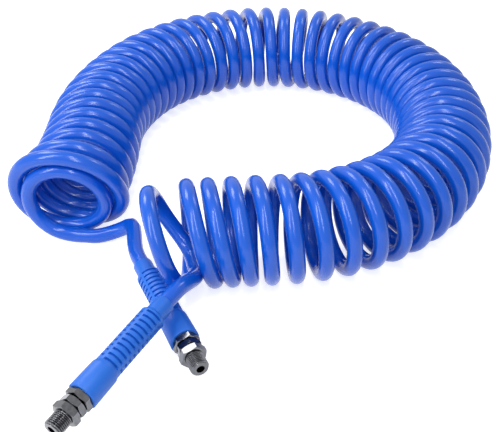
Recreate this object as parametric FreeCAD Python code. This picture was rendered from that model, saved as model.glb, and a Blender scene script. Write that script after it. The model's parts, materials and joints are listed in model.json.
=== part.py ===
"""Coiled polyurethane air hose lying in a C, with a swivel male fitting and a bend sleeve on each end.

Units are millimetres, +Z is up and the floor is Z = 0.  The coil lies on its side: its axis runs
level in a C of tangent arcs, and the tube winds round that axis as a right-handed helix.
"""
import FreeCAD
import Part
import math
import os

V = FreeCAD.Vector

# Hose
HOSE_RADIUS = 6.0
BORE_RADIUS = 4.0
COIL_RADIUS = 36.0
FLAT_DEPTH = 0.5
COIL_PITCH = 17.85
AXIS_START_X = -46.06
AXIS_START_Y = -105.17
AXIS_HEADING = 5.5
STRAIGHT_END = 12.0

# The level axis: length and signed radius of each tangent arc, positive turning left.
AXIS_ARCS = (
    (60.0, -3000.0),
    (90.0, 163.3),
    (90.0, 150.5),
    (120.0, 199.8),
    (120.0, 156.3),
    (120.0, 142.2),
    (120.0, 156.2),
    (120.0, 222.4),
    (120.0, -500.0),
)

# Turns are counted from the top of the first loop.
TURNS_TO_TOP = 55.0
FIRST_TURN = -0.5
LAST_TURN = TURNS_TO_TOP + 0.5

# Axial place of the loosened first turns, and how far the tops of the first and last loops lean.
LOOSE_TURNS = (
    (-1.0, -14.0),
    (-0.5, -14.0),
    (-0.25, -25.5),
    (0.0, -33.5),
    (0.25, -27.2),
    (0.4, -19.0),
    (0.5, -16.5),
    (1.0, -3.2),
    (2.0, 11.8),
    (3.0, 27.2),
    (4.0, 43.5),
)
LOOSE_LEAN = ((-0.5, 6.0), (0.0, 5.0), (1.0, 5.8), (2.0, 5.2), (3.0, 2.8), (4.0, 0.8), (5.0, 0.0))
LOOSE_RADIUS = ((-0.5, 22.2), (-0.25, 21.0), (0.0, 36.0), (0.28, 39.0), (0.5, 36.0), (1.0, 36.0))

# The end turns open up and the last one tucks inside its neighbour: turns from the last top, then
# the place along the axis and the radius.
END_TURNS = (
    (-5.0, 864.6),
    (-4.5, 871.2),
    (-4.0, 882.45),
    (-3.5, 884.2),
    (-3.0, 900.3),
    (-2.5, 897.2),
    (-2.0, 920.0),
    (-1.5, 910.1),
    (-1.0, 941.5),
    (-0.5, 923.6),
    (0.0, 939.0),
    (0.5, 937.0),
)
END_RADIUS = (
    (-2.0, 36.0),
    (-1.75, 36.5),
    (-1.5, 36.0),
    (-1.25, 41.0),
    (-1.0, 39.0),
    (-0.75, 44.5),
    (-0.5, 35.6),
    (-0.25, 26.5),
    (0.0, 25.2),
    (0.25, 30.8),
    (0.5, 36.0),
    (0.75, 30.8),
)


def smooth(table, x):
    """Cubic through a table of (x, value), level beyond its ends."""
    if x <= table[0][0]:
        return table[0][1]
    if x >= table[-1][0]:
        return table[-1][1]
    last = len(table) - 1
    i = 0
    while table[i + 1][0] < x:
        i += 1

    def slope(k):
        a = max(k - 1, 0)
        b = min(k + 1, last)
        return (table[b][1] - table[a][1]) / (table[b][0] - table[a][0])

    x0, y0 = table[i]
    x1, y1 = table[i + 1]
    h = x1 - x0
    t = (x - x0) / h
    return (
        (2 * t**3 - 3 * t**2 + 1) * y0
        + (t**3 - 2 * t**2 + t) * h * slope(i)
        + (-2 * t**3 + 3 * t**2) * y1
        + (t**3 - t**2) * h * slope(i + 1)
    )


AXIS_HEIGHT = COIL_RADIUS + HOSE_RADIUS - FLAT_DEPTH


def axis_point(s):
    """Point of the coil's axis at length s, and its heading in radians."""
    x, y, heading = AXIS_START_X, AXIS_START_Y, math.radians(AXIS_HEADING)
    if s < 0:
        return V(x + s * math.cos(heading), y + s * math.sin(heading), AXIS_HEIGHT), heading
    for length, radius in AXIS_ARCS:
        step = min(s, length)
        new = heading + step / radius
        x += radius * (math.sin(new) - math.sin(heading))
        y -= radius * (math.cos(new) - math.cos(heading))
        heading = new
        s -= step
        if s <= 0:
            break
    return V(x + s * math.cos(heading), y + s * math.sin(heading), AXIS_HEIGHT), heading


def coil_point(u):
    """Centre of the tube after u turns."""
    loose_end = LOOSE_TURNS[-1]
    from_top = u - TURNS_TO_TOP
    if u <= loose_end[0]:
        place = smooth(LOOSE_TURNS, u)
    elif from_top < END_TURNS[0][0]:
        place = loose_end[1] + (u - loose_end[0]) * COIL_PITCH
    else:
        place = smooth(END_TURNS, from_top)
    lean = smooth(LOOSE_LEAN, u)
    radius = smooth(LOOSE_RADIUS, u) + smooth(END_RADIUS, from_top) - COIL_RADIUS
    turn = 2 * math.pi * u
    p, heading = axis_point(place - lean * math.cos(turn))
    right = V(math.sin(heading), -math.cos(heading), 0)
    return p + right * (radius * math.sin(turn)) + V(0, 0, radius * math.cos(turn))


def coil_direction(u):
    d = coil_point(u + 0.001) - coil_point(u - 0.001)
    return d.normalize()


# Tails: corners of the route between the coil's straight end and each sleeve's mouth.
TAIL_A_CORNERS = ((-52.26, -145.17, 29.5),)
TAIL_A_LEADS = (9.0, 18.0)
TAIL_B_CORNERS = ((-114.46, -56.67, 10.0), (-97.46, -63.17, 20.5))
TAIL_B_LEADS = (10.0, 20.0)
ARC_SHARE = 0.45
SLEEVE_A_MOUTH = (-68.46, -175.67, 34.0)
SLEEVE_A_TOWARD = (-114.46, -249.17, 22.0)
SLEEVE_A_ROLL = 33.0
SLEEVE_B_MOUTH = (-91.86, -109.37, 14.5)
SLEEVE_B_TOWARD = (-53.66, -191.77, 11.0)
SLEEVE_B_ROLL = 10.0

# Bend sleeve, measured from its mouth toward the fitting.
SLEEVE_LENGTH = 88.0
SLEEVE_CLEARANCE = 0.15
COLLAR_WALL = 1.15
COLLAR_RADIUS = HOSE_RADIUS + SLEEVE_CLEARANCE + COLLAR_WALL
COLLAR_LENGTH = 12.5
NECK_STEP = 2.0
NECK_RADIUS = COLLAR_RADIUS + NECK_STEP
NECK_END = 63.0
BARREL_START = 66.5
SLEEVE_ROUND = 0.6
SLOT_COUNT = 11
SLOT_FIRST = 16.2
SLOT_PITCH = 4.52
SLOT_WIDTH = 1.4
SLOT_ANGLE = 74.0
SLOT_WALL = 0.7

# Clamp nut: a shank inside the sleeve and a hexagon against its end.
NUT_FLATS = 17.0
NUT_LENGTH = 5.0
SHANK_WALL = 2.45
SHANK_RADIUS = HOSE_RADIUS + SLEEVE_CLEARANCE + SHANK_WALL
SHANK_LENGTH = 16.0
HEX_BEVEL = 30.0

# The sleeve's barrel goes round the shank and flares to its end.
BARREL_WALL = 1.45
BARREL_FLARE = 0.4
BARREL_RADIUS = SHANK_RADIUS + SLEEVE_CLEARANCE + BARREL_WALL
BARREL_END_RADIUS = BARREL_RADIUS + BARREL_FLARE

# Insert: barbs in the bore, a flange, the second hexagon and the journal of the swivel.
HOSE_END = 80.0
BARB_COUNT = 4
BARB_PITCH = 4.0
BARB_PLAY = 0.1
BARB_DEPTH = 0.5
BARB_RISE = 0.8
BARB_RADIUS = BORE_RADIUS - BARB_PLAY
BARB_ROOT = BARB_RADIUS - BARB_DEPTH
FLOW_RADIUS = 2.4
FLANGE_LENGTH = 2.0
INSERT_NECK_RADIUS = 5.0
NECK_GAP = 0.8
INSERT_FLATS = 16.0
INSERT_HEX_LENGTH = 4.8
JOURNAL_RADIUS = 4.0
JOURNAL_LENGTH = 13.0
FIT_CLEARANCE = 0.08

# Washer, O-ring and snap ring on the journal.
WASHER_THICKNESS = 0.8
WASHER_RADIUS = 7.4
ORING_OFFSET = 3.6
ORING_SECTION = 0.9
GROOVE_CLEARANCE = 0.05
ORING_GROOVE_WIDTH = 1.3
RING_OFFSET = 10.0
RING_WIDTH = 1.0
RING_DEPTH = 0.55
RING_GAP_ANGLE = 40.0

# How far a cutting block goes past what it cuts.
CUT_MARGIN = 1.0

# Swivel body: the third hexagon and the quarter-inch male thread.
SWIVEL_FLATS = 17.0
SWIVEL_HEX_LENGTH = 5.6
THREAD_RADIUS = 6.58
THREAD_LENGTH = 11.0
THREAD_CHAMFER = 1.0
POCKET_CLEARANCE = 0.8
OUTLET_RADIUS = 3.0


def unit(a, b):
    d = V(*b) - V(*a)
    return d.normalize()


def arc_edge(start, corner, end):
    """Arc from start to end whose end tangents meet at corner."""
    w = math.cos((corner - start).getAngle(end - start))
    middle = (start + corner * (2 * w) + end) * (1 / (2 + 2 * w))
    return Part.Arc(start, middle, end).toShape()


def biarc(p0, t0, p1, t1):
    """Two tangent arcs from p0 along t0 to p1 along t1."""
    chord = p1 - p0
    both = t0 + t1
    a = 2 * (1 - t0.dot(t1))
    b = chord.dot(both)
    d = (math.sqrt(b * b + a * chord.dot(chord)) - b) / a
    c0 = p0 + t0 * d
    c1 = p1 - t1 * d
    joint = (c0 + c1) * 0.5
    return [arc_edge(p0, c0, joint), arc_edge(joint, c1, p1)]


def coil_edges():
    """Straight end, two arcs in each quarter turn, straight end."""
    steps = round((LAST_TURN - FIRST_TURN) * 4)
    turns = [FIRST_TURN + i * (LAST_TURN - FIRST_TURN) / steps for i in range(steps + 1)]
    points = [coil_point(u) for u in turns]
    ways = [coil_direction(u) for u in turns]
    edges = [Part.LineSegment(points[0] - ways[0] * STRAIGHT_END, points[0]).toShape()]
    for i in range(steps):
        edges += biarc(points[i], ways[i], points[i + 1], ways[i + 1])
    edges.append(Part.LineSegment(points[-1], points[-1] + ways[-1] * STRAIGHT_END).toShape())
    return edges


def route_edges(points, name):
    """Straight runs joined by arcs as large as the shorter run beside each corner allows."""
    edges = []
    radii = []
    here = points[0]
    for i in range(1, len(points) - 1):
        back = points[i - 1] - points[i]
        ahead = points[i + 1] - points[i]
        cut = ARC_SHARE * min(back.Length, ahead.Length)
        turn = math.pi - back.getAngle(ahead)
        radii.append(cut / math.tan(turn / 2))
        a = points[i] + back.normalize() * cut
        b = points[i] + ahead.normalize() * cut
        edges.append(Part.LineSegment(here, a).toShape())
        edges.append(arc_edge(a, points[i], b))
        here = b
    edges.append(Part.LineSegment(here, points[-1]).toShape())
    print(name, "bend radii", [round(r, 1) for r in radii])
    return edges


def tube(edges, radius):
    """Round bar of one radius along a chain of edges."""
    start = edges[0].Vertexes[0].Point
    way = edges[0].Vertexes[1].Point - start
    ring = Part.Wire([Part.Circle(start, way, radius).toShape()])
    return Part.Wire(edges).makePipeShell([ring], True, False)


def hose(edges, name):
    """Hollow hose along a chain of edges, flat where it lies on the floor."""
    solid = tube(edges, HOSE_RADIUS).cut(tube(edges, BORE_RADIUS))
    length = Part.Wire(edges).Length
    section = math.pi * (HOSE_RADIUS**2 - BORE_RADIUS**2)
    print(name, "length", round(length, 1), "volume over section times length", solid.Volume / (section * length))
    box = solid.BoundBox
    if box.ZMin < 0:
        corner = V(box.XMin, box.YMin, box.ZMin - CUT_MARGIN)
        below = Part.makeBox(box.XLength, box.YLength, CUT_MARGIN - box.ZMin, corner)
        solid = solid.cut(below)
    return solid.Solids[0]


def revolved(points):
    """Closed outline of (radius, z) points turned about Z."""
    corners = [V(r, 0, z) for r, z in points]
    outline = Part.makePolygon(corners + corners[:1])
    return Part.Face(outline).revolve(V(0, 0, 0), V(0, 0, 1), 360)


def rim(solid, radius, z):
    """Circular edges of a turned solid at one radius and height."""
    found = []
    for edge in solid.Edges:
        if not isinstance(edge.Curve, Part.Circle):
            continue
        same_radius = abs(edge.Curve.Radius - radius) < 1e-6
        same_height = abs(edge.Curve.Center.z - z) < 1e-6
        if same_radius and same_height:
            found.append(edge)
    return found


def hexagon(flats, bottom, top):
    """Hexagonal prism whose corners are turned off at both ends."""
    corner = flats / math.sqrt(3)
    points = [V(corner, 0, bottom)]
    for i in range(1, 7):
        angle = math.radians(60 * i)
        points.append(V(corner * math.cos(angle), corner * math.sin(angle), bottom))
    prism = Part.Face(Part.makePolygon(points)).extrude(V(0, 0, top - bottom))
    rise = (corner - flats / 2) * math.tan(math.radians(HEX_BEVEL))
    turned = [(0, bottom), (flats / 2, bottom), (corner, bottom + rise)]
    turned += [(corner, top - rise), (flats / 2, top), (0, top)]
    return prism.common(revolved(turned)).Solids[0]


def slots():
    """Cutting sectors of the sleeve's slots: two opposite rows, and two more half a pitch on."""
    floor = HOSE_RADIUS + SLEEVE_CLEARANCE + SLOT_WALL
    reach = NECK_RADIUS + CUT_MARGIN
    cuts = []
    for row in range(4):
        first = SLOT_FIRST + (row % 2) * SLOT_PITCH / 2
        for i in range(SLOT_COUNT - row % 2):
            z = first + i * SLOT_PITCH
            corners = [V(floor, 0, z), V(reach, 0, z), V(reach, 0, z + SLOT_WIDTH), V(floor, 0, z + SLOT_WIDTH)]
            sector = Part.Face(Part.makePolygon(corners + corners[:1]))
            sector = sector.revolve(V(0, 0, 0), V(0, 0, 1), SLOT_ANGLE)
            sector.rotate(V(0, 0, 0), V(0, 0, 1), 90 * row - SLOT_ANGLE / 2)
            cuts.append(sector)
    return cuts


def sleeve():
    """Bend sleeve: a collar round the hose, a slotted neck and a barrel over the nut's shank."""
    bore = HOSE_RADIUS + SLEEVE_CLEARANCE
    seat = SHANK_RADIUS + SLEEVE_CLEARANCE
    seat_start = SLEEVE_LENGTH - SHANK_LENGTH
    body = revolved([
        (bore, 0),
        (COLLAR_RADIUS, 0),
        (COLLAR_RADIUS, COLLAR_LENGTH),
        (NECK_RADIUS, COLLAR_LENGTH + NECK_RADIUS - COLLAR_RADIUS),
        (NECK_RADIUS, NECK_END),
        (BARREL_RADIUS, BARREL_START),
        (BARREL_END_RADIUS, SLEEVE_LENGTH),
        (seat, SLEEVE_LENGTH),
        (seat, seat_start),
        (bore, seat_start),
    ])
    rims = rim(body, COLLAR_RADIUS, 0) + rim(body, BARREL_END_RADIUS, SLEEVE_LENGTH)
    body = body.makeFillet(SLEEVE_ROUND, rims)
    return body.cut(slots()).Solids[0]


NUT_START = SLEEVE_LENGTH
NUT_END = NUT_START + NUT_LENGTH
FLANGE_END = HOSE_END + FLANGE_LENGTH
INSERT_HEX_START = NUT_END + NECK_GAP
INSERT_HEX_END = INSERT_HEX_START + INSERT_HEX_LENGTH
JOURNAL_END = INSERT_HEX_END + JOURNAL_LENGTH
SWIVEL_START = INSERT_HEX_END + WASHER_THICKNESS
THREAD_START = SWIVEL_START + SWIVEL_HEX_LENGTH
THREAD_END = THREAD_START + THREAD_LENGTH
POCKET_RADIUS = JOURNAL_RADIUS + FIT_CLEARANCE


def clamp_nut():
    """Hexagon against the sleeve's end, with a shank between sleeve and hose."""
    hose_bore = HOSE_RADIUS + SLEEVE_CLEARANCE
    neck_bore = INSERT_NECK_RADIUS + FIT_CLEARANCE
    shank_start = NUT_START - SHANK_LENGTH
    shank = revolved([
        (hose_bore, shank_start),
        (SHANK_RADIUS, shank_start),
        (SHANK_RADIUS, NUT_START),
        (neck_bore, NUT_START),
        (neck_bore, FLANGE_END),
        (hose_bore, FLANGE_END),
    ])
    hole = Part.makeCylinder(neck_bore, NUT_LENGTH, V(0, 0, NUT_START))
    head = hexagon(NUT_FLATS, NUT_START, NUT_END).cut(hole)
    return shank.fuse(head).removeSplitter().Solids[0]


def insert():
    """Barbed stem in the hose, flange, neck, second hexagon and grooved journal, on one flow bore."""
    groove = POCKET_RADIUS - ORING_SECTION - 2 * GROOVE_CLEARANCE
    oring_start = INSERT_HEX_END + ORING_OFFSET - ORING_GROOVE_WIDTH / 2
    ring_start = INSERT_HEX_END + RING_OFFSET - RING_WIDTH / 2 - GROOVE_CLEARANCE
    ring_root = JOURNAL_RADIUS - RING_DEPTH - GROOVE_CLEARANCE
    stem = [(FLOW_RADIUS, HOSE_END - BARB_COUNT * BARB_PITCH)]
    for i in range(BARB_COUNT):
        z = HOSE_END - (BARB_COUNT - i) * BARB_PITCH
        stem += [(BARB_ROOT, z), (BARB_RADIUS, z + BARB_PITCH * BARB_RISE), (BARB_ROOT, z + BARB_PITCH * BARB_RISE)]
    stem += [
        (BARB_ROOT, HOSE_END),
        (HOSE_RADIUS, HOSE_END),
        (HOSE_RADIUS, FLANGE_END),
        (INSERT_NECK_RADIUS, FLANGE_END),
        (INSERT_NECK_RADIUS, INSERT_HEX_END),
        (JOURNAL_RADIUS, INSERT_HEX_END),
        (JOURNAL_RADIUS, oring_start),
        (groove, oring_start),
        (groove, oring_start + ORING_GROOVE_WIDTH),
        (JOURNAL_RADIUS, oring_start + ORING_GROOVE_WIDTH),
        (JOURNAL_RADIUS, ring_start),
        (ring_root, ring_start),
        (ring_root, ring_start + RING_WIDTH + 2 * GROOVE_CLEARANCE),
        (JOURNAL_RADIUS, ring_start + RING_WIDTH + 2 * GROOVE_CLEARANCE),
        (JOURNAL_RADIUS, JOURNAL_END),
        (FLOW_RADIUS, JOURNAL_END),
    ]
    hole = Part.makeCylinder(FLOW_RADIUS, INSERT_HEX_LENGTH, V(0, 0, INSERT_HEX_START))
    head = hexagon(INSERT_FLATS, INSERT_HEX_START, INSERT_HEX_END).cut(hole)
    return revolved(stem).fuse(head).removeSplitter().Solids[0]


def washer():
    """Thin bearing washer between the second hexagon and the swivel body."""
    return revolved([
        (POCKET_RADIUS, INSERT_HEX_END),
        (WASHER_RADIUS, INSERT_HEX_END),
        (WASHER_RADIUS, SWIVEL_START),
        (POCKET_RADIUS, SWIVEL_START),
    ])


def oring():
    """Seal in the journal's first groove."""
    middle = POCKET_RADIUS - GROOVE_CLEARANCE - ORING_SECTION / 2
    return Part.makeTorus(middle, ORING_SECTION / 2, V(0, 0, INSERT_HEX_END + ORING_OFFSET))


def snap_ring():
    """Open ring half in the journal's groove and half in the swivel body's."""
    inner = JOURNAL_RADIUS - RING_DEPTH
    outer = POCKET_RADIUS + RING_DEPTH
    z = INSERT_HEX_END + RING_OFFSET - RING_WIDTH / 2
    corners = [V(inner, 0, z), V(outer, 0, z), V(outer, 0, z + RING_WIDTH), V(inner, 0, z + RING_WIDTH)]
    section = Part.Face(Part.makePolygon(corners + corners[:1]))
    return section.revolve(V(0, 0, 0), V(0, 0, 1), 360 - RING_GAP_ANGLE)


def swivel():
    """Swivel body: hexagon, male thread, and the pocket that turns on the journal."""
    pocket_end = JOURNAL_END + POCKET_CLEARANCE
    groove_start = INSERT_HEX_END + RING_OFFSET - RING_WIDTH / 2 - FIT_CLEARANCE
    groove_end = groove_start + RING_WIDTH + 2 * FIT_CLEARANCE
    groove = POCKET_RADIUS + RING_DEPTH + FIT_CLEARANCE
    threaded = revolved([
        (OUTLET_RADIUS, pocket_end),
        (POCKET_RADIUS, pocket_end),
        (POCKET_RADIUS, groove_end),
        (groove, groove_end),
        (groove, groove_start),
        (POCKET_RADIUS, groove_start),
        (POCKET_RADIUS, SWIVEL_START),
        (THREAD_RADIUS, SWIVEL_START),
        (THREAD_RADIUS, THREAD_END - THREAD_CHAMFER),
        (THREAD_RADIUS - THREAD_CHAMFER, THREAD_END),
        (OUTLET_RADIUS, THREAD_END),
    ])
    hole = Part.makeCylinder(POCKET_RADIUS, SWIVEL_HEX_LENGTH, V(0, 0, SWIVEL_START))
    head = hexagon(SWIVEL_FLATS, SWIVEL_START, THREAD_START).cut(hole)
    return threaded.fuse(head).removeSplitter().Solids[0]


def end_placement(mouth, toward, roll):
    """Frame of one hose end: +Z runs from the sleeve's mouth, +X is the slot row, roll right of the top."""
    along = unit(mouth, toward)
    right = along.cross(V(0, 0, 1)).normalize()
    top = right.cross(along)
    turned = FreeCAD.Rotation(top, right, along, "ZXY") * FreeCAD.Rotation(V(0, 0, 1), roll)
    return FreeCAD.Placement(V(*mouth), turned)


def tail_points(coil_end, outward, leads, corners, placement):
    """Route of a tail: straight out of the coil, its corners, and straight down the sleeve."""
    points = [coil_end, coil_end + outward * leads[0]]
    points += [V(*corner) for corner in corners]
    points.append(placement.multVec(V(0, 0, -leads[1])))
    points.append(placement.multVec(V(0, 0, HOSE_END)))
    return points


def print_gaps(coil, tails):
    """Print the coil's least gap to itself, and each tail's to the coil, measured on points.

    A turn is eight edges, so a point is compared with those from half a turn to two turns on, and a
    tail from where it has left the coil.
    """
    per_edge = 23
    half_turn = 4 * per_edge
    two_turns = 16 * per_edge
    tail_step = 2.0
    near_coil = 30.0
    centres = []
    for edge in coil:
        centres += [tuple(p) for p in edge.discretize(per_edge + 1)[1:]]
    least = math.inf
    for i, p in enumerate(centres):
        for q in centres[i + half_turn:i + two_turns]:
            least = min(least, math.dist(p, q))
    print("least gap of the coil to itself", round(least - 2 * HOSE_RADIUS, 2))
    for name, edges in tails.items():
        points = Part.Wire(edges).discretize(Distance=tail_step)
        beside = [tuple(p) for p in points[round(near_coil / tail_step):]]
        least = min(math.dist(p, q) for p in beside for q in centres)
        print("least gap of", name, "to the coil", round(least - 2 * HOSE_RADIUS, 2))


def main():
    os.makedirs("parts", exist_ok=True)
    coil = coil_edges()
    ends = {
        "a": end_placement(SLEEVE_A_MOUTH, SLEEVE_A_TOWARD, SLEEVE_A_ROLL),
        "b": end_placement(SLEEVE_B_MOUTH, SLEEVE_B_TOWARD, SLEEVE_B_ROLL),
    }
    start = coil[0].Vertexes[0].Point
    finish = coil[-1].Vertexes[1].Point
    back = -coil_direction(FIRST_TURN)
    ahead = coil_direction(LAST_TURN)
    tails = {
        "hose_tail_a": route_edges(tail_points(start, back, TAIL_A_LEADS, TAIL_A_CORNERS, ends["a"]), "tail a"),
        "hose_tail_b": route_edges(tail_points(finish, ahead, TAIL_B_LEADS, TAIL_B_CORNERS, ends["b"]), "tail b"),
    }
    print_gaps(coil, tails)

    parts = {"hose_coil": hose(coil, "hose_coil")}
    for name, edges in tails.items():
        parts[name] = hose(edges, name)
    makers = {
        "sleeve": sleeve,
        "clamp_nut": clamp_nut,
        "insert": insert,
        "washer": washer,
        "oring": oring,
        "snap_ring": snap_ring,
        "swivel": swivel,
    }
    for end, placement in ends.items():
        for name, make in makers.items():
            piece = make()
            piece.Placement = placement
            parts[name + "_" + end] = piece

    for name, shape in parts.items():
        print(name, shape.ShapeType, "valid", shape.isValid(), "volume", round(shape.Volume, 1))
        shape.exportStep("parts/" + name + ".step")


main()
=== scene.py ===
# %% [markdown]
# # A coiled air hose
#
# The object is a spiral workshop air hose: one long polyurethane tube, wound like a spring and laid on
# its side in a C, with a slotted rubber sleeve and a swivelling threaded fitting on each end.
# CAD settled every size and the motion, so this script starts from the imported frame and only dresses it.
# All lengths below are in millimetres, as on the hose itself, and become metres when a mesh is made.

# %% Load the frame
import json
import math

import bpy
import numpy as np
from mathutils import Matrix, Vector


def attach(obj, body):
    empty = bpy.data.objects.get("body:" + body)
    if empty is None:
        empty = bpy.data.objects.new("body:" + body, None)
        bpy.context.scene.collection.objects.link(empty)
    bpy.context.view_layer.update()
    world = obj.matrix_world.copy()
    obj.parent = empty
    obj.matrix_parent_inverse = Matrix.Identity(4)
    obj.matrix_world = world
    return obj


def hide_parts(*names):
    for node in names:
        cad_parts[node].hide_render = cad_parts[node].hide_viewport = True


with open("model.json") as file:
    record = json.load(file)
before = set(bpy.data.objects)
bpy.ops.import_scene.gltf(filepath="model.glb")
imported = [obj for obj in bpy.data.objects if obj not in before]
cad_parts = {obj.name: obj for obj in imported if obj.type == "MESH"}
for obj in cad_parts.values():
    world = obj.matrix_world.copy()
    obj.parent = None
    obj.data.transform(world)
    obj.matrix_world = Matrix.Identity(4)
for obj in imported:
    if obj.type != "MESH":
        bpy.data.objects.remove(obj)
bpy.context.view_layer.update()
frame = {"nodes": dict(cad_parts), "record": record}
MM = 0.001
WHOLE_TURN = 2 * np.pi
joints = {joint["name"]: joint for joint in frame["record"]["behaviour"]["joints"]}

# %% [markdown]
# ## The camera
#
# The photograph looks down on the ring of turns at about 35 degrees, with a short telephoto view: the
# loops in front are a fifth larger than those at the back. The camera goes where those two facts put it.
# A lens given in pixels of the 497 pixel wide picture is turned into one for a 36 mm sensor.

# %% Camera
PICTURE_WIDTH = 497
LENS_PIXELS = 841
SENSOR = 36.0
ELEVATION = 35
TARGET = np.array([-11.46, -82.67, 41.5])
DISTANCE = 646.15
VIEW_REACH = 20

scene = bpy.context.scene
scene.view_settings.view_transform = "Standard"
camera = bpy.data.objects.new("camera", bpy.data.cameras.new("camera"))
scene.collection.objects.link(camera)
scene.camera = camera
camera.data.sensor_width = SENSOR
camera.data.lens = LENS_PIXELS / PICTURE_WIDTH * SENSOR
tilt = math.radians(ELEVATION)
back = np.array([0, -math.cos(tilt), math.sin(tilt)])
camera.location = (TARGET + back * DISTANCE) * MM
camera.rotation_euler = (math.pi / 2 - tilt, 0, 0)
camera.data.clip_end = VIEW_REACH
print("camera at", [round(c, 3) for c in camera.location], "lens", round(camera.data.lens, 1))

# %% [markdown]
# ## The line of the hose
#
# The whole hose is one line. Its axis is a level chain of circular arcs that closes into a C, and the
# tube winds round that axis. The turns are counted by u: a whole number is the top of a loop, and a
# quarter more is the side nearest to the camera on the front arm. Small tables hold what a hand does to
# such a coil when it is laid down: the first loops are pulled apart and lean, and the last ones open up
# and tuck inside each other. A cubic through each table keeps every change soft.

# %% Sizes of the hose
HOSE_RADIUS = 6.0
COIL_RADIUS = 36.0
COIL_PITCH = 17.85
FLAT_DEPTH = 0.5
AXIS_HEIGHT = COIL_RADIUS + HOSE_RADIUS - FLAT_DEPTH
AXIS_START = (-46.06, -105.17)
AXIS_HEADING = 5.5
STRAIGHT_END = 12.0

# %% Length and signed radius of each arc of the level axis
AXIS_ARCS = np.array([
    (60, -3000),
    (90, 163.3),
    (90, 150.5),
    (120, 199.8),
    (120, 156.3),
    (120, 142.2),
    (120, 156.2),
    (120, 222.4),
    (120, -500),
])

# %% Place and shape of the first turns
LOOSE_TURNS = (
    (-1.0, -14.0),
    (-0.5, -14.0),
    (-0.25, -25.5),
    (0.0, -33.5),
    (0.25, -27.2),
    (0.4, -19.0),
    (0.5, -16.5),
    (1.0, -3.2),
    (2.0, 11.8),
    (3.0, 27.2),
    (4.0, 43.5),
)
LOOSE_LEAN = ((-0.5, 6.0), (0.0, 5.0), (1.0, 5.8), (2.0, 5.2), (3.0, 2.8), (4.0, 0.8), (5.0, 0.0))
LOOSE_RADIUS = ((-0.5, 22.2), (-0.25, 21.0), (0.0, 36.0), (0.28, 39.0), (0.5, 36.0), (1.0, 36.0))

# %% Place and radius of the last turns, counted from the last top
TURNS_TO_TOP = 55.0
FIRST_TURN = -0.5
LAST_TURN = TURNS_TO_TOP + 0.5
END_TURNS = (
    (-5.0, 864.6),
    (-4.5, 871.2),
    (-4.0, 882.45),
    (-3.5, 884.2),
    (-3.0, 900.3),
    (-2.5, 897.2),
    (-2.0, 920.0),
    (-1.5, 910.1),
    (-1.0, 941.5),
    (-0.5, 923.6),
    (0.0, 939.0),
    (0.5, 937.0),
)
END_RADIUS = (
    (-2.0, 36.0),
    (-1.75, 40.0),
    (-1.5, 36.0),
    (-1.25, 41.0),
    (-1.0, 39.0),
    (-0.75, 44.5),
    (-0.5, 35.6),
    (-0.25, 27.3),
    (0.0, 26.0),
    (0.25, 32.2),
    (0.5, 36.0),
    (0.75, 30.8),
)


# %% Formulas of the coil
def smooth(table, x):
    """Cubic through a table of (x, value) with centred slopes, level beyond its ends."""
    table = np.array(table, float)
    knots, values = table[:, 0], table[:, 1]
    low = np.maximum(np.arange(len(knots)) - 1, 0)
    high = np.minimum(np.arange(len(knots)) + 1, len(knots) - 1)
    slopes = (values[high] - values[low]) / (knots[high] - knots[low])
    inside = np.clip(x, knots[0], knots[-1])
    i = np.clip(np.searchsorted(knots, inside) - 1, 0, len(knots) - 2)
    h = knots[i + 1] - knots[i]
    t = (inside - knots[i]) / h
    rise = (-2 * t**3 + 3 * t**2) * (values[i + 1] - values[i])
    bend = (t**3 - 2 * t**2 + t) * h * slopes[i] + (t**3 - t**2) * h * slopes[i + 1]
    return values[i] + rise + bend


def axis_at(s):
    """Points of the axis at lengths s, and its headings: each arc starts where the last one ends."""
    lengths, radii = AXIS_ARCS[:, 0], AXIS_ARCS[:, 1]
    starts = np.concatenate([[0], np.cumsum(lengths)])
    headings = np.radians(AXIS_HEADING) + np.concatenate([[0], np.cumsum(lengths / radii)])
    step_x = radii * np.diff(np.sin(headings))
    step_y = -radii * np.diff(np.cos(headings))
    x = AXIS_START[0] + np.concatenate([[0], np.cumsum(step_x)])
    y = AXIS_START[1] + np.concatenate([[0], np.cumsum(step_y)])
    i = np.clip(np.searchsorted(starts, s, side="right") - 1, 0, len(lengths) - 1)
    part = np.maximum(s - starts[i], 0)
    before = np.minimum(s, 0)
    heading = headings[i] + part / radii[i]
    px = x[i] + radii[i] * (np.sin(heading) - np.sin(headings[i])) + before * np.cos(heading)
    py = y[i] - radii[i] * (np.cos(heading) - np.cos(headings[i])) + before * np.sin(heading)
    return np.stack([px, py, np.full_like(px, AXIS_HEIGHT)], 1), heading


def coil_line(u, widen=1.0):
    """Centre of the hose after u turns: round the axis at a radius, from the top to the right and down."""
    loose_top = LOOSE_TURNS[-1]
    from_top = u - TURNS_TO_TOP
    place = loose_top[1] + (u - loose_top[0]) * COIL_PITCH
    place = np.where(u <= loose_top[0], smooth(LOOSE_TURNS, u), place)
    place = np.where(from_top >= END_TURNS[0][0], smooth(END_TURNS, from_top), place)
    radius = (smooth(LOOSE_RADIUS, u) + smooth(END_RADIUS, from_top) - COIL_RADIUS) * widen
    turn = WHOLE_TURN * u
    middle, heading = axis_at(place - smooth(LOOSE_LEAN, u) * np.cos(turn))
    right = np.stack([np.sin(heading), -np.cos(heading), np.zeros_like(heading)], 1)
    up = np.array([0, 0, 1.0])
    return middle + right * (radius * np.sin(turn))[:, None] + up * (radius * np.cos(turn))[:, None]


# %% [markdown]
# ## The two ends
#
# Each end is a straight stack of pieces on one line, so each gets a local frame: Z runs from the
# sleeve's mouth out to the tip of the thread, and X is the solid's own, rolled away from straight up.
# The line itself comes from the joint that the swivel turns on, so the pieces land exactly on the CAD
# ones.

# %% Frames of the two ends
SWIVEL_START = 99.4
ROLLS = {"a": 33.0, "b": 10.0}


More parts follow.
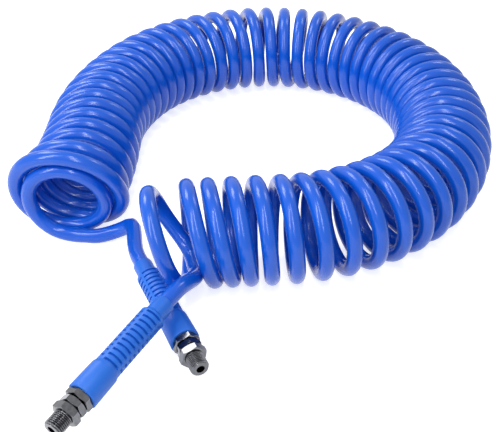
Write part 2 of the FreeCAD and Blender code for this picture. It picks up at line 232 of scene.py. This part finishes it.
def end_frame(name):
    """Origin at the sleeve's mouth and the three axes of one end, as rows, from the swivel's hinge."""
    joint = joints["swivel_" + name + "_spin"]
    along = np.array(joint["axis"], float)
    along /= np.linalg.norm(along)
    origin = np.array(joint["pos_m"], float) / MM - along * SWIVEL_START
    right = np.cross(along, [0, 0, 1])
    right /= np.linalg.norm(right)
    top = np.cross(right, along)
    roll = math.radians(ROLLS[name])
    x = top * math.cos(roll) + right * math.sin(roll)
    y = right * math.cos(roll) - top * math.sin(roll)
    return origin, np.stack([x, y, along])


ends = {name: end_frame(name) for name in ROLLS}
for name, (origin, axes) in ends.items():
    print("end", name, "mouth", origin.round(2), "along", axes[2].round(3))

# %% [markdown]
# ## The route of the two tails
#
# Between the coil and the sleeves the hose is not wound, so its points are listed one by one. They
# start from the solid's and are moved by a few millimetres to follow the photograph: tail a comes out of
# the first loop, rises over the other sleeve and drops to its fitting, and tail b leaves the last loop
# along the floor, climbs, and folds back sharply under the first loop.

# %% Route points
HOSE_END = 80.0
TAIL_A_CORNERS = ((-51.6, -145.5, 30.0),)
TAIL_A_LEADS = (9.0, 18.0)
TAIL_B_CORNERS = ((-114.46, -56.67, 10.0), (-103.0, -61.5, 20.5))
TAIL_B_LEADS = (10.0, 20.0)
POINTS_PER_TURN = 16


def tail_route(coil_end, outward, leads, corners, end):
    """Straight out of the coil, the corners, and down the middle of the sleeve to the stop."""
    origin, axes = ends[end]
    down = [origin - axes[2] * leads[1], origin, origin + axes[2] * HOSE_END]
    out = [coil_end + outward * STRAIGHT_END, coil_end + outward * (STRAIGHT_END + leads[0])]
    return np.array(out + [np.array(corner) for corner in corners] + down)


def way(u, step=0.001):
    """Unit direction of the coil's line at one turn."""
    pair = coil_line(np.array([u - step, u + step]))
    return (pair[1] - pair[0]) / np.linalg.norm(pair[1] - pair[0])


# A quadratic spline meets the middle of each side of its polygon and cuts the corners between them. On
# a round polygon its mean radius is about 3/4 + cos(step) / 4 of the polygon's, so the turns are drawn
# wider by as much.
widen = 1 / (0.75 + 0.25 * math.cos(WHOLE_TURN / POINTS_PER_TURN))
count = round((LAST_TURN - FIRST_TURN) * POINTS_PER_TURN)
turns = np.linspace(FIRST_TURN, LAST_TURN, count + 1)
coil = coil_line(turns, widen)
first, last = coil_line(np.array([FIRST_TURN, LAST_TURN]))
tail_a = tail_route(first, -way(FIRST_TURN), TAIL_A_LEADS, TAIL_A_CORNERS, "a")
tail_b = tail_route(last, way(LAST_TURN), TAIL_B_LEADS, TAIL_B_CORNERS, "b")
route = np.concatenate([tail_a[::-1], coil, tail_b])
print("route points", len(route))

# %% [markdown]
# ## One spline, then a tube along it
#
# A NURBS spline of order 3 turns the route's points into one soft line. Blender works out that line,
# and its points are read back to carry a ring of vertices along it. The ring's frame is handed on from
# station to station by the least turn, so the tube never twists, and the distance along the hose is
# kept on every vertex: the finish can then have streaks that follow the hose.

# %% Spline
SPLINE_STEPS = 3
SPLINE_ORDER = 3


def spline_points(points):
    """Points of the NURBS line through the route, as Blender evaluates it, in millimetres."""
    curve = bpy.data.curves.new("route", "CURVE")
    curve.dimensions = "3D"
    curve.resolution_u = SPLINE_STEPS
    spline = curve.splines.new("NURBS")
    spline.points.add(len(points) - 1)
    spline.points.foreach_set("co", np.c_[points * MM, np.ones(len(points))].ravel())
    spline.order_u = SPLINE_ORDER
    spline.use_endpoint_u = True
    holder = bpy.data.objects.new("route", curve)
    scene.collection.objects.link(holder)
    mesh = bpy.data.meshes.new_from_object(holder)
    line = np.empty(len(mesh.vertices) * 3, np.float32)
    mesh.vertices.foreach_get("co", line)
    bpy.data.objects.remove(holder)
    bpy.data.curves.remove(curve)
    bpy.data.meshes.remove(mesh)
    return line.reshape(-1, 3).astype(float) / MM


line = spline_points(route)
hose_length = np.linalg.norm(np.diff(line, axis=0), axis=1).sum()
print("stations", len(line), "length", round(hose_length, 1), "lowest centre", line[:, 2].min().round(2))


# %% Meshes from grids
def new_piece(name, points, quads, smooth_angle=35, caps=()):
    """Object at the origin from points in millimetres; edges sharper than the angle stay crisp."""
    mesh = bpy.data.meshes.new(name)
    faces = quads.reshape(-1, 4).tolist() + [list(cap) for cap in caps]
    mesh.from_pydata((points.reshape(-1, 3) * MM).tolist(), [], faces)
    mesh.polygons.foreach_set("use_smooth", np.ones(len(mesh.polygons), bool))
    mesh.set_sharp_from_angle(angle=math.radians(smooth_angle))
    mesh.update()
    piece = bpy.data.objects.new(name, mesh)
    scene.collection.objects.link(piece)
    return piece


def grid_quads(rows, columns, closed_rows):
    """Quads over a grid whose columns close on themselves, and whose rows close if asked."""
    index = np.arange(rows * columns).reshape(rows, columns)
    if closed_rows:
        index = np.concatenate([index, index[:1]])
    index = np.concatenate([index, index[:, :1]], 1)
    return np.stack([index[:-1, :-1], index[:-1, 1:], index[1:, 1:], index[1:, :-1]], -1)


# %% Sweep
SIDES = 24
TUBE_ANGLE = 60
FLOOR_LEVEL = 0


def carry_frames(line):
    """Tangents and unit normals along a line, each normal the last one turned as little as possible."""
    tangents = np.gradient(line, axis=0)
    tangents /= np.linalg.norm(tangents, axis=1)[:, None]
    normals = np.empty_like(tangents)
    normal = np.cross(tangents[0], [0, 0, 1.0])
    for i, tangent in enumerate(tangents):
        normal = normal - tangent * normal.dot(tangent)
        normal = normal / np.linalg.norm(normal)
        normals[i] = normal
    return tangents, normals


def hose_grid(line, radius):
    """Rings of one radius round a line: centre + radius (cos a normal + sin a binormal)."""
    tangents, normals = carry_frames(line)
    binormals = np.cross(tangents, normals)
    angle = np.arange(SIDES) / SIDES * WHOLE_TURN
    cosine, sine = np.cos(angle)[None, :, None], np.sin(angle)[None, :, None]
    ring = cosine * normals[:, None] + sine * binormals[:, None]
    return line[:, None] + radius * ring, angle


tube, angle = hose_grid(line, HOSE_RADIUS)
tube[..., 2] = np.maximum(tube[..., 2], FLOOR_LEVEL)
first_ring = range(SIDES)
last_ring = range((len(tube) - 1) * SIDES, len(tube) * SIDES)
caps = [first_ring[::-1], last_ring]
hose = new_piece("air_hose", tube, grid_quads(len(tube), SIDES, False), TUBE_ANGLE, caps)
along = np.concatenate([[0], np.cumsum(np.linalg.norm(np.diff(line, axis=0), axis=1))])
across = HOSE_RADIUS * np.cos(angle), HOSE_RADIUS * np.sin(angle)
spot = np.stack(np.broadcast_arrays(along[:, None], *across), -1)
marks = hose.data.attributes.new("along", "FLOAT_VECTOR", "POINT")
marks.data.foreach_set("vector", (spot * MM).astype(np.float32).ravel())
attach(hose, "hose")
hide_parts("hose_coil", "hose_tail_a", "hose_tail_b")
print("hose faces", len(hose.data.polygons))

# %% [markdown]
# ## Pieces turned on a lathe
#
# Everything else on an end has a hole through it, so each piece is a closed profile carried round the
# end's line. The profile may change with the angle: a hexagon is the turned shape with its flats cut
# off, a thread is a wave that climbs one pitch in a turn, and the sleeve has slots sunk into it.
# The hexagons are rolled by whole columns of the grid, so that a line of vertices lies on each corner.

# %% Turned pieces
COLUMNS = 96
TURN = np.arange(COLUMNS) / COLUMNS * WHOLE_TURN


def ring_piece(name, end, radius, height, turn=TURN, smooth_angle=35):
    """Closed ring from radii and heights over (profile, angle), set on one end of the hose."""
    origin, axes = ends[end]
    radius, height, turn = np.broadcast_arrays(radius, height, turn[None, :])
    local = np.stack([radius * np.cos(turn), radius * np.sin(turn), height], -1)
    return new_piece(name, origin + local @ axes, grid_quads(*radius.shape, True), smooth_angle)


def columns(pairs, turn=TURN):
    """Profile points (radius, height) as two grids, the same at every angle."""
    pairs = np.array(pairs, float)
    ones = np.ones(len(turn))
    return pairs[:, :1] * ones, pairs[:, 1:] * ones


def flats_radius(flats, turn):
    """Distance from the axis to a hexagon's side at each angle, with a corner at angle zero."""
    sixth = np.pi / 3
    from_flat = (turn % sixth) - sixth / 2
    return flats / 2 / np.cos(from_flat)


HEX_BEVEL = 30.0
HEX_INSET = 0.01
COLUMN_STEP = 360 / COLUMNS
HEX_ROLLS = {"a": 7 * COLUMN_STEP, "b": -6 * COLUMN_STEP}
INSERT_ROLL = 3 * COLUMN_STEP


def hexagon_rows(flats, bottom, top, roll):
    """Rows of a hexagon, rolled by some degrees, whose corners a cone turns off at both ends."""
    side = flats_radius(flats, TURN - math.radians(roll))
    rise = (side - flats / 2) * math.tan(math.radians(HEX_BEVEL))
    level = np.ones_like(side)
    end_radius = level * (flats / 2 - HEX_INSET)
    radius = np.stack([end_radius, side, side, end_radius])
    height = np.stack([level * bottom, bottom + rise, top - rise, level * top])
    return radius, height


def stacked(*parts):
    """Grids of radius and height, one part of the profile after another."""
    return np.concatenate([part[0] for part in parts]), np.concatenate([part[1] for part in parts])


CRISP_ANGLE = 30
EDGE_SEGMENTS = 2


def soften(piece, width):
    """Rounds the crisp edges of a machined piece by a real width, in millimetres."""
    bevel = piece.modifiers.new("edges", "BEVEL")
    bevel.width = width * MM
    bevel.segments = EDGE_SEGMENTS
    bevel.limit_method = "ANGLE"
    bevel.angle_limit = math.radians(CRISP_ANGLE)
    bevel.harden_normals = True


print("columns round a turned piece", COLUMNS, "degrees apart", COLUMN_STEP)

# %% [markdown]
# ## The bend sleeve
#
# The sleeve is one soft moulding: a plain collar hugs the hose, the neck has slots all round so that it
# bends in a curve and not at a point, and the barrel covers the crimped nut. The slots are in four rows,
# and rows beside each other are half a pitch apart. Each slot is sunk by moving the grid's own lines in:
# the grid has a line on each side of every slot's edge, so the walls come out steep and the rims round.
# The rows are rolled round each sleeve until they face the way that the photograph shows.

# %% Sizes of the sleeve
SLEEVE_LENGTH = 88.0
SLEEVE_BORE = 6.15
COLLAR_RADIUS = 7.3
COLLAR_LENGTH = 12.5
NECK_RADIUS = 9.3
NECK_END = 63.0
BARREL_START = 66.5
BARREL_RADIUS = 10.2
BARREL_END_RADIUS = 10.6
SEAT_RADIUS = 8.75
SEAT_LENGTH = 16.0
RIM = 0.6
RIM_SHARES = (0.13, 0.4)
COLLAR_STEP = (-0.3, 2.4)
COLLAR_LINES = (-0.3, 0, 0.5, 1.0, 1.6, 2.2, 2.9)
BARREL_LINES = (0, 0.9, 1.8, 2.7)
SLOT_ROWS = 4
SLOT_COUNT = 11
SLOT_FIRST = 16.2
SLOT_PITCH = 4.52
SLOT_WIDTH = 1.4
SLOT_ANGLE = 74.0
SLOT_DEPTH = 2.3
SLOT_EDGE = 0.22
SLOT_LIP = 0.01
EDGE_ANGLE = 2.0
ANGLE_STEP = 6
ROW_ANGLE = 360 // SLOT_ROWS
SLEEVE_ANGLE = 50
SLOT_ROLLS = {"a": -66.0, "b": -8.0}


# %% Formulas of the sleeve
def ramp(x, start, end):
    """Zero before start, one after end, and a soft step between."""
    t = np.clip((x - start) / (end - start), 0, 1)
    return t * t * (3 - 2 * t)


def sleeve_outline():
    """Heights and radii of the sleeve's outside, with lines at the rim of every slot."""
    rims = []
    for i in range(2 * SLOT_COUNT - 1):
        low = SLOT_FIRST + i * SLOT_PITCH / 2
        high = low + SLOT_WIDTH
        rims += [low - SLOT_EDGE, low - SLOT_EDGE / 2, low, high, high + SLOT_EDGE / 2, high + SLOT_EDGE]
    mouth = [0] + [RIM * share for share in RIM_SHARES] + [RIM]
    collar = [COLLAR_LENGTH + step for step in COLLAR_LINES]
    barrel = [NECK_END + step for step in BARREL_LINES] + [BARREL_START, BARREL_START + 1]
    far_rim = [SLEEVE_LENGTH - step for step in mouth]
    z = np.array(sorted(set(mouth + collar + rims + barrel + far_rim)))
    step_start, step_end = (COLLAR_LENGTH + step for step in COLLAR_STEP)
    r = COLLAR_RADIUS + (NECK_RADIUS - COLLAR_RADIUS) * ramp(z, step_start, step_end)
    r += (BARREL_RADIUS - NECK_RADIUS) * ramp(z, NECK_END, BARREL_START)
    flare = np.clip((z - BARREL_START) / (SLEEVE_LENGTH - BARREL_START), 0, 1)
    r += (BARREL_END_RADIUS - BARREL_RADIUS) * flare
    for rim, sign in ((0, 1), (SLEEVE_LENGTH, -1)):
        into = np.clip((z - rim) * sign / RIM, 0, 1)
        r -= RIM * (1 - np.sqrt(1 - (1 - into) ** 2))
    return z, r


def slot_depth(z, turn):
    """How deep the surface is sunk at a height and angle: one box per row, soft at its rim."""
    depth = np.zeros(np.broadcast_shapes(z.shape, turn.shape))
    for row in range(SLOT_ROWS):
        aside = np.abs((np.degrees(turn) - ROW_ANGLE * row + 180) % 360 - 180)
        across = 1 - ramp(aside, SLOT_ANGLE / 2 - EDGE_ANGLE, SLOT_ANGLE / 2 + EDGE_ANGLE)
        first = SLOT_FIRST + (row % 2) * SLOT_PITCH / 2
        number = np.clip(np.round((z - first - SLOT_WIDTH / 2) / SLOT_PITCH), 0, SLOT_COUNT - 1 - row % 2)
        middle = first + number * SLOT_PITCH + SLOT_WIDTH / 2
        within = 1 - ramp(np.abs(z - middle), SLOT_WIDTH / 2 - SLOT_LIP, SLOT_WIDTH / 2 + SLOT_EDGE)
        depth = np.maximum(depth, SLOT_DEPTH * across * within)
    return depth


def sleeve_turn():
    """Angles of the sleeve's grid: even steps, with closer lines at the ends of the slots."""
    angles = set(range(0, 360, ANGLE_STEP))
    for row in range(SLOT_ROWS):
        for side in (-1, 1):
            edge = ROW_ANGLE * row + side * SLOT_ANGLE / 2
            angles |= {(edge + shift) % 360 for shift in (-EDGE_ANGLE, 0.0, EDGE_ANGLE)}
    return np.radians(np.array(sorted(angles), float))


# %% Sleeves
def make_sleeve(end):
    """Sleeve of one end: its outline less the slots, then down its bore, as one closed profile."""
    turn = sleeve_turn()
    z, r = sleeve_outline()
    radius = r[:, None] - slot_depth(z[:, None], turn[None, :])
    height = z[:, None] * np.ones(len(turn))
    seat = SLEEVE_LENGTH - SEAT_LENGTH
    inside = columns([
        (SEAT_RADIUS, SLEEVE_LENGTH), (SEAT_RADIUS, seat), (SLEEVE_BORE, seat), (SLEEVE_BORE, 0),
    ], turn)
    rolled = turn + math.radians(SLOT_ROLLS[end])
    profile = stacked((radius, height), inside)
    piece = ring_piece("bend_sleeve_" + end, end, *profile, rolled, SLEEVE_ANGLE)
    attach(piece, "hose")
    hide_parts("sleeve_" + end)
    return piece


sleeves = [make_sleeve(end) for end in ends]
print("sleeve faces", len(sleeves[0].data.polygons))

# %% [markdown]
# ## The fitting
#
# Three hexagons follow each other out of the sleeve: the clamp nut with its shank in the barrel, the
# insert that holds the hose on its barbs, and the swivel body with the male thread. A dark washer keeps
# the last two apart, so the swivel turns. A Bevel modifier rounds the edges of the nut and the insert,
# because rounded edges catch the light. The swivel goes without it, since its thread is too fine.

# %% Clamp nut
NUT_START = SLEEVE_LENGTH
NUT_END = 93.0
NUT_FLATS = 17.0
SHANK_RADIUS = 8.6
FLANGE_END = 82.0
NECK_BORE = 5.08
NUT_EDGE = 0.22


def make_nut(end):
    """Nut of one end: up its bore, along the shank and over the hexagon, as one closed profile."""
    shank_start = NUT_START - SEAT_LENGTH
    shank = columns([
        (NECK_BORE, NUT_END), (NECK_BORE, FLANGE_END), (SLEEVE_BORE, FLANGE_END),
        (SLEEVE_BORE, shank_start), (SHANK_RADIUS, shank_start), (SHANK_RADIUS, NUT_START),
    ])
    head = hexagon_rows(NUT_FLATS, NUT_START, NUT_END, HEX_ROLLS[end])
    piece = ring_piece("clamp_hexagon_" + end, end, *stacked(shank, head))
    soften(piece, NUT_EDGE)
    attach(piece, "hose")
    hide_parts("clamp_nut_" + end)
    return piece


nuts = [make_nut(end) for end in ends]
print("nut faces before its edges are rounded", len(nuts[0].data.polygons))

# %% Insert
INSERT_FLATS = 16.0
INSERT_START = 93.8
INSERT_END = 98.6
INSERT_NECK = 5.0
JOURNAL_RADIUS = 4.0
JOURNAL_END = 111.6
FLOW_RADIUS = 2.4
BARB_COUNT = 4
BARB_PITCH = 4.0
BARB_RADIUS = 3.9
BARB_ROOT = 3.4
BARB_CREST = 0.8
BARB_BACK = 0.82
INSERT_EDGE = 0.3
ORING_GROOVE = (3.12, 101.55, 102.85)
RING_GROOVE = (3.4, 108.05, 109.15)


def groove(radius, low, high):
    """Profile of a groove in the journal."""
    return [(JOURNAL_RADIUS, low), (radius, low), (radius, high), (JOURNAL_RADIUS, high)]


def make_insert(end):
    """Insert of one end: barbs, flange, neck, hexagon and grooved journal, closed by the bore."""
    start = HOSE_END - BARB_COUNT * BARB_PITCH
    stem = [(FLOW_RADIUS, start)]
    for i in range(BARB_COUNT):
        z = start + i * BARB_PITCH
        crest, back = z + BARB_PITCH * BARB_CREST, z + BARB_PITCH * BARB_BACK
        stem += [(BARB_ROOT, z), (BARB_RADIUS, crest), (BARB_ROOT, back)]
    stem += [(BARB_ROOT, HOSE_END), (HOSE_RADIUS, HOSE_END), (HOSE_RADIUS, FLANGE_END)]
    stem += [(INSERT_NECK, FLANGE_END), (INSERT_NECK, INSERT_START)]
    journal = [(JOURNAL_RADIUS, INSERT_END)] + groove(*ORING_GROOVE) + groove(*RING_GROOVE)
    journal += [(JOURNAL_RADIUS, JOURNAL_END), (FLOW_RADIUS, JOURNAL_END)]
    head = hexagon_rows(INSERT_FLATS, INSERT_START, INSERT_END, HEX_ROLLS[end] + INSERT_ROLL)
    piece = ring_piece("insert_stem_" + end, end, *stacked(columns(stem), head, columns(journal)))
    soften(piece, INSERT_EDGE)
    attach(piece, "hose")
    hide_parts("insert_" + end)
    return piece


inserts = [make_insert(end) for end in ends]
print("insert faces before its edges are rounded", len(inserts[0].data.polygons))

# %% [markdown]
# The thread is the quarter-inch pipe thread: 19 turns to the inch, so a pitch of 1.337 mm, and ridges
# 0.856 mm deep with flanks at 55 degrees. It fades out towards the hexagon and is turned off at the tip.

# %% Swivel body
SWIVEL_FLATS = 17.0
RUNNING_GAP = 0.03
THREAD_START = 105.0
THREAD_END = 116.0
THREAD_RADIUS = 6.58
THREAD_PITCH = 1.337
THREAD_DEPTH = 0.856
THREAD_CHAMFER = 1.0
THREAD_FLAT = 0.12
THREAD_FADE = (0.2, 1.2)
THREAD_FIRST_ROW = 0.05
SWIVEL_ANGLE = 30
ROWS_PER_PITCH = 12
POCKET_RADIUS = 4.08
POCKET_END = 112.4
SWIVEL_GROOVE = (4.71, 108.02, 109.18)
OUTLET_RADIUS = 3.0


def thread_rows():
    """Ridge that climbs one pitch in a turn: radius = crest - depth times a rounded triangle wave."""
    first_row = THREAD_START + THREAD_FIRST_ROW
    z = np.arange(first_row, THREAD_END, THREAD_PITCH / ROWS_PER_PITCH)[:, None]
    phase = (z / THREAD_PITCH - TURN[None, :] / WHOLE_TURN) % 1
    valley = 1 - np.abs(2 * phase - 1)
    valley = np.clip((valley - THREAD_FLAT) / (1 - 2 * THREAD_FLAT), 0, 1)
    fade_start, fade_end = (THREAD_START + height for height in THREAD_FADE)
    sunk = THREAD_DEPTH * valley * ramp(z, fade_start, fade_end)
    tip = THREAD_RADIUS - np.clip(z - (THREAD_END - THREAD_CHAMFER), 0, THREAD_CHAMFER)
    radius = np.minimum(THREAD_RADIUS - sunk, tip)
    return radius, z * np.ones_like(TURN)


def make_swivel(end):
    """Swivel body of one end: hexagon, thread, outlet and the pocket that turns on the journal."""
    groove_radius, groove_low, groove_high = SWIVEL_GROOVE
    inside = columns([
        (OUTLET_RADIUS, THREAD_END), (OUTLET_RADIUS, POCKET_END), (POCKET_RADIUS, POCKET_END),
        (POCKET_RADIUS, groove_high), (groove_radius, groove_high), (groove_radius, groove_low),
        (POCKET_RADIUS, groove_low), (POCKET_RADIUS, SWIVEL_START + RUNNING_GAP),
    ])
    head = hexagon_rows(SWIVEL_FLATS, SWIVEL_START + RUNNING_GAP, THREAD_START, HEX_ROLLS[end])
    tip = columns([(THREAD_RADIUS - THREAD_CHAMFER, THREAD_END)])
    profile = stacked(head, thread_rows(), tip, inside)
    piece = ring_piece("threaded_swivel_" + end, end, *profile, smooth_angle=SWIVEL_ANGLE)
    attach(piece, "swivel_" + end)
    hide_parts("swivel_" + end)
    return piece


swivels = [make_swivel(end) for end in ends]
print("swivel faces", len(swivels[0].data.polygons))


# %% [markdown]
# ## Finishes
#
# Shader maths reads better as plain expressions, so a small class wraps a node's socket: adding or
# multiplying two of them adds the Math node that does it. Every other node comes from one function that
# takes its type, its settings and its inputs.

# %% Expressions on sockets
class Expression:
    """A socket of a material's nodes that can be added and multiplied, on either side of the sign."""

    def __init__(self, tree, socket):
        self.tree = tree
        self.socket = socket

    def combined(self, operation, other):
        """Result of a Math node on this socket and another socket or number."""
        return add_node(self.tree, "ShaderNodeMath", {"operation": operation}, {0: self, 1: other})

    def __add__(self, other):
        return self.combined("ADD", other)

    def __mul__(self, other):
        return self.combined("MULTIPLY", other)

    __radd__ = __add__
    __rmul__ = __mul__


def add_node(tree, kind, settings=None, inputs=None, output=0):
    """Adds a node, sets its settings, then its sockets' values or links, and returns one output."""
    node = tree.nodes.new(kind)
    for name, value in (settings or {}).items():
        setattr(node, name, value)
    for name, value in (inputs or {}).items():
        if isinstance(value, Expression):
            tree.links.new(value.socket, node.inputs[name])
        else:
            node.inputs[name].default_value = value
    return Expression(tree, node.outputs[output])


def linear(red, green, blue):
    """Scene colour of a screen colour given in 0 to 255."""
    screen = np.array([red, green, blue]) / 255
    low = screen / 12.92
    high = ((screen + 0.055) / 1.055) ** 2.4
    return (*np.where(screen <= 0.04045, low, high).tolist(), 1.0)


def mixed(tree, factor, first, second):
    """Colour between two, by a factor."""
    settings = {"data_type": "RGBA"}
    return add_node(tree, "ShaderNodeMix", settings, {0: factor, 6: first, 7: second}, 2)


def noise(tree, place, scale, detail=3.0, roughness=0.5):
    """Fractal noise from 0 to 1 at a place."""
    inputs = {"Vector": place, "Scale": scale, "Detail": detail, "Roughness": roughness}
    return add_node(tree, "ShaderNodeTexNoise", None, inputs)


def stretched(tree, place, scale):
    """A place with each of its axes scaled."""
    return add_node(tree, "ShaderNodeMapping", None, {"Vector": place, "Scale": scale})


def bump(tree, height, strength, distance):
    """Normal of a surface raised by a height, at most distance millimetres."""
    inputs = {"Height": height, "Strength": strength, "Distance": distance * MM}
    return add_node(tree, "ShaderNodeBump", None, inputs)


def new_material(name):
    """Empty material with its Principled shader ready."""
    material = bpy.data.materials.new(name)
    material.use_nodes = True
    return material, material.node_tree, material.node_tree.nodes["Principled BSDF"]


def feed(tree, shader, **values):
    """Sets or links the shader's sockets; an underscore stands for a space."""
    for name, value in values.items():
        socket = shader.inputs[name.replace("_", " ")]
        if isinstance(value, Expression):
            tree.links.new(value.socket, socket)
        else:
            socket.default_value = value


# %% [markdown]
# Polyurethane is drawn through a die, so its gloss has very faint streaks along the hose, and its blue
# is deep and even. The streaks follow the distance along the hose that the mesh carries.

# %% Hose finish
material, tree, shader = new_material("polyurethane")
place = add_node(tree, "ShaderNodeAttribute", {"attribute_name": "along"}, None, 1)
streaks = noise(tree, stretched(tree, place, (12.0, 900.0, 900.0)), 1.0, 2.0)
clouds = noise(tree, place, 35.0, 2.0)
handled = noise(tree, place, 260.0, 4.0, 0.6)
colour = mixed(tree, clouds, linear(6, 80, 196), linear(10, 94, 210))
feed(
    tree, shader,
    Base_Color=colour,
    Roughness=0.16 + 0.12 * handled,
    Normal=bump(tree, streaks, 0.15, 0.05),
    IOR=1.47,
)
hose.data.materials.append(material)
print("hose finish nodes", len(tree.nodes))

# %% [markdown]
# The sleeve is moulded from a softer compound: the same blue, satin, with the fine grain of the mould.

# %% Sleeve finish
material, tree, shader = new_material("sleeve_rubber")
place = add_node(tree, "ShaderNodeTexCoord", None, None, "Object")
grain = noise(tree, place, 2600.0, 3.0, 0.6)
clouds = noise(tree, place, 60.0, 2.0)
colour = mixed(tree, clouds, linear(20, 96, 200), linear(28, 108, 212))
feed(
    tree, shader,
    Base_Color=colour,
    Roughness=0.42 + 0.1 * grain,
    Normal=bump(tree, grain, 0.25, 0.04),
    IOR=1.5,
)
for piece in sleeves:
    piece.data.materials.append(material)
print("sleeve finish nodes", len(tree.nodes))

# %% [markdown]
# The fittings are brass under bright nickel: a faint warm grey, clear reflections, and a little dullness
# in patches where a spanner and fingers have been.

# %% Nickel
material, tree, shader = new_material("nickel_plate")
place = add_node(tree, "ShaderNodeTexCoord", None, None, "Object")
worn = noise(tree, place, 420.0, 4.0, 0.6)
fine = noise(tree, place, 3000.0, 2.0)
colour = mixed(tree, worn, linear(74, 75, 79), linear(120, 121, 125))
feed(
    tree, shader,
    Base_Color=colour,
    Metallic=1.0,
    Roughness=0.07 + 0.14 * worn,
    Normal=bump(tree, fine, 0.1, 0.02),
)
for piece in nuts + inserts + swivels:
    piece.data.materials.append(material)
print("nickel on", len(nuts + inserts + swivels), "pieces")

# %% [markdown]
# Three small pieces on each end keep their CAD shape and only get a finish: the washer and the seal are
# black moulded plastic with a fine grain, and the snap ring is drawn spring steel.

# %% Washer, seal and snap ring
material, tree, shader = new_material("black_nylon")
place = add_node(tree, "ShaderNodeTexCoord", None, None, "Object")
grain = noise(tree, place, 1800.0, 3.0)
feed(tree, shader, Base_Color=mixed(tree, grain, linear(14, 14, 16), linear(30, 30, 33)))
feed(tree, shader, Roughness=0.45 + 0.15 * grain)
spring, spring_tree, spring_shader = new_material("spring_steel")
place = add_node(spring_tree, "ShaderNodeTexCoord", None, None, "Object")
drawn = noise(spring_tree, place, 1500.0, 3.0)
colour = mixed(spring_tree, drawn, linear(120, 120, 124), linear(150, 150, 152))
feed(spring_tree, spring_shader, Base_Color=colour, Metallic=1.0, Roughness=0.3 + 0.1 * drawn)
for node, finish in (("washer", material), ("oring", material), ("snap_ring", spring)):
    for end in ends:
        piece = frame["nodes"][node + "_" + end]
        piece.data.materials.clear()
        piece.data.materials.append(finish)
    print(node, "finish", finish.name)

# %% [markdown]
# ## Floor and light
#
# The photograph is a studio cut-out on white. A pale floor runs far out and the world is white where the
# camera or a mirror looks at it. Two long narrow lamps in front and two windows behind leave the pair of
# long highlights that each turn of the hose shows, and they are weak enough that nothing clips.

# %% Floor
FLOOR_SIZE = 6000.0
half = FLOOR_SIZE / 2
corners = np.array([(-half, -half), (half, -half), (half, half), (-half, half)])
corners = np.c_[corners, np.full(len(corners), FLOOR_LEVEL)]
floor = new_piece("floor", corners, np.array([[0, 1, 2, 3]]))


def seen_directly(tree):
    """One for what the camera, a mirror or glass sees, zero for the light that reaches other things."""
    camera_ray, glossy_ray, transmission_ray = (
        add_node(tree, "ShaderNodeLightPath", output="Is " + kind + " Ray")
        for kind in ("Camera", "Glossy", "Transmission")
    )
    return camera_ray + glossy_ray + transmission_ray


FLOOR_LIFT = 0.72
material, tree, shader = new_material("floor_white")
feed(tree, shader, Base_Color=(0.85, 0.85, 0.86, 1.0), Roughness=0.9, Emission_Strength=1.0)
lift = FLOOR_LIFT * seen_directly(tree)
grey = add_node(tree, "ShaderNodeCombineColor", None, {"Red": lift, "Green": lift, "Blue": lift})
feed(tree, shader, Emission_Color=grey)
floor.data.materials.append(material)
print("floor", FLOOR_SIZE, "wide, at height", FLOOR_LEVEL)

# %% World
world = bpy.data.worlds.new("studio")
scene.world = world
world.use_nodes = True
tree = world.node_tree
AMBIENT = 0.2
strength = AMBIENT + (1 - AMBIENT) * seen_directly(tree)
background = tree.nodes["Background"]
background.inputs["Color"].default_value = (1, 1, 1, 1)
tree.links.new(strength.socket, background.inputs["Strength"])
print("world light", AMBIENT, "of white")

# %% Lamps
LAMP_AIM = Vector((0, 0, 0.04))


def strip_lamp(name, place, width, height, power):
    """Soft lamp at a place in metres, turned to the middle of the hose with its long side upright."""
    light = bpy.data.lights.new(name, "AREA")
    light.shape = "RECTANGLE"
    light.size = width
    light.size_y = height
    light.energy = power
    holder = bpy.data.objects.new(name, light)
    scene.collection.objects.link(holder)
    holder.location = place
    holder.rotation_euler = (LAMP_AIM - holder.location).to_track_quat("-Z", "Y").to_euler()
    print(name, power, "watts at", place)


strip_lamp("left_strip", (-0.95, -0.8, 1.0), 0.14, 1.5, 13)
strip_lamp("front_strip", (0.0, -0.85, 1.15), 0.1, 1.5, 10)
strip_lamp("back_window", (-0.7, 0.5, 0.95), 0.5, 0.5, 6)
strip_lamp("right_window", (0.8, 0.7, 1.1), 0.4, 0.4, 3)

# %% Where the hose stops at end a, in metres
origin_a = ends["a"][0] + ends["a"][1][2] * HOSE_END
tuple(origin_a * MM)
